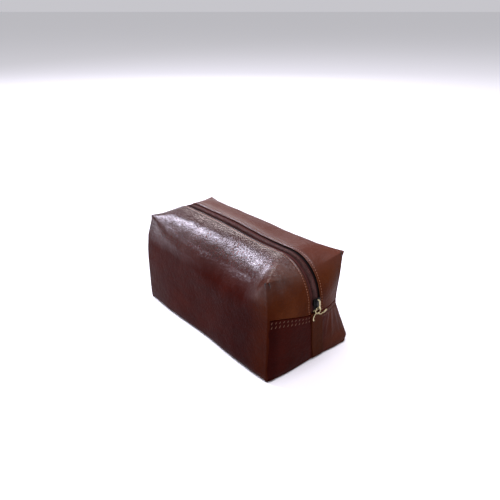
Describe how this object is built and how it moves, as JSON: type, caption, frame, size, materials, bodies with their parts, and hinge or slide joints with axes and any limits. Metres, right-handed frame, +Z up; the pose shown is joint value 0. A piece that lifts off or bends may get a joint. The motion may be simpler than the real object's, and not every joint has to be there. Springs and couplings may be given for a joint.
{
  "type": "shaving kit bag",
  "caption": "Boxed leather shaving kit bag with a zip running over the top and down both ends, two opening top flaps, a strip down the ends and a hanging metal pull.",
  "frame": {"origin": "middle of the underside, on the surface the bag stands on", "axes": "+X along the bag toward the end where the slider rests when shut, +Y toward the back long wall, +Z up"},
  "size_m": [0.2731, 0.119, 0.1282],
  "materials": {
    "front_leather": "glossy chestnut brown leather",
    "warm_leather": "glossy chestnut brown leather, warmer on the ends",
    "dark_leather": "glossy dark brown leather",
    "band_leather": "matt brown leather strip",
    "lining_cloth": "plain woven dark cloth",
    "tape_cloth": "herringbone zip tape, dark brown",
    "coil_nylon": "nylon zip coil, dark brown",
    "board": "stiffening board",
    "black_metal": "black plated metal",
    "old_brass": "antique brass"
  },
  "bodies": {
    "bag_body": {"front_wall": "front_leather", "back_wall": "front_leather", "front_base_half": "front_leather", "back_base_half": "front_leather", "near_shoulder_front": "warm_leather", "near_shoulder_back": "warm_leather", "far_shoulder_front": "warm_leather", "far_shoulder_back": "warm_leather", "near_end_panel": "dark_leather", "far_end_panel": "dark_leather", "centre_band": "band_leather", "front_lining": "lining_cloth", "back_lining": "lining_cloth", "base_lining": "lining_cloth", "near_end_lining": "lining_cloth", "far_end_lining": "lining_cloth", "slip_pocket": "lining_cloth", "near_shoulder_lining_front": "lining_cloth", "near_shoulder_lining_back": "lining_cloth", "far_shoulder_lining_front": "lining_cloth", "far_shoulder_lining_back": "lining_cloth", "zip_tape_front_near": "tape_cloth", "zip_tape_front_far": "tape_cloth", "zip_tape_back_near": "tape_cloth", "zip_tape_back_far": "tape_cloth", "zip_coil_front_near": "coil_nylon", "zip_coil_front_far": "coil_nylon", "zip_coil_back_near": "coil_nylon", "zip_coil_back_far": "coil_nylon", "base_board": "board", "near_zip_stop": "old_brass", "far_zip_stop": "old_brass"},
    "front_lip_flap": {"front_lip": "front_leather", "front_lip_lining": "lining_cloth", "zip_tape_front_top": "tape_cloth", "zip_coil_front_top": "coil_nylon"},
    "back_lip_flap": {"back_lip": "front_leather", "back_lip_lining": "lining_cloth", "zip_tape_back_top": "tape_cloth", "zip_coil_back_top": "coil_nylon"},
    "slider": {"slider_body": "black_metal", "slider_bail": "old_brass"},
    "pull_ring_body": {"pull_ring": "old_brass"},
    "pull_fork_body": {"pull_fork": "old_brass"}
  },
  "joints": [
    {"name": "front_lip_fold", "type": "hinge", "parent": "bag_body", "child": "front_lip_flap", "pos_m": [0, -0.0586, 0.121], "axis": [1, 0, 0], "range_deg": [0, 60]},
    {"name": "back_lip_fold", "type": "hinge", "parent": "bag_body", "child": "back_lip_flap", "pos_m": [0, 0.0586, 0.121], "axis": [-1, 0, 0], "range_deg": [0, 60]},
    {"name": "slider_travel", "type": "hinge", "parent": "bag_body", "child": "slider", "pos_m": [0.084, 0, 0.079], "axis": [0, -1, 0], "range_deg": [0, 75], "deforming": ["zip_tape_front_near", "zip_tape_back_near", "zip_coil_front_near", "zip_coil_back_near"]},
    {"name": "pull_ring_swing", "type": "hinge", "parent": "slider", "child": "pull_ring_body", "pos_m": [0.1367, 0, 0.0756], "axis": [0, -1, 0], "range_deg": [0, 125]},
    {"name": "pull_fork_swing", "type": "hinge", "parent": "pull_ring_body", "child": "pull_fork_body", "pos_m": [0.1367, 0, 0.0676], "axis": [0, -1, 0], "range_deg": [0, 60]}
  ]
}
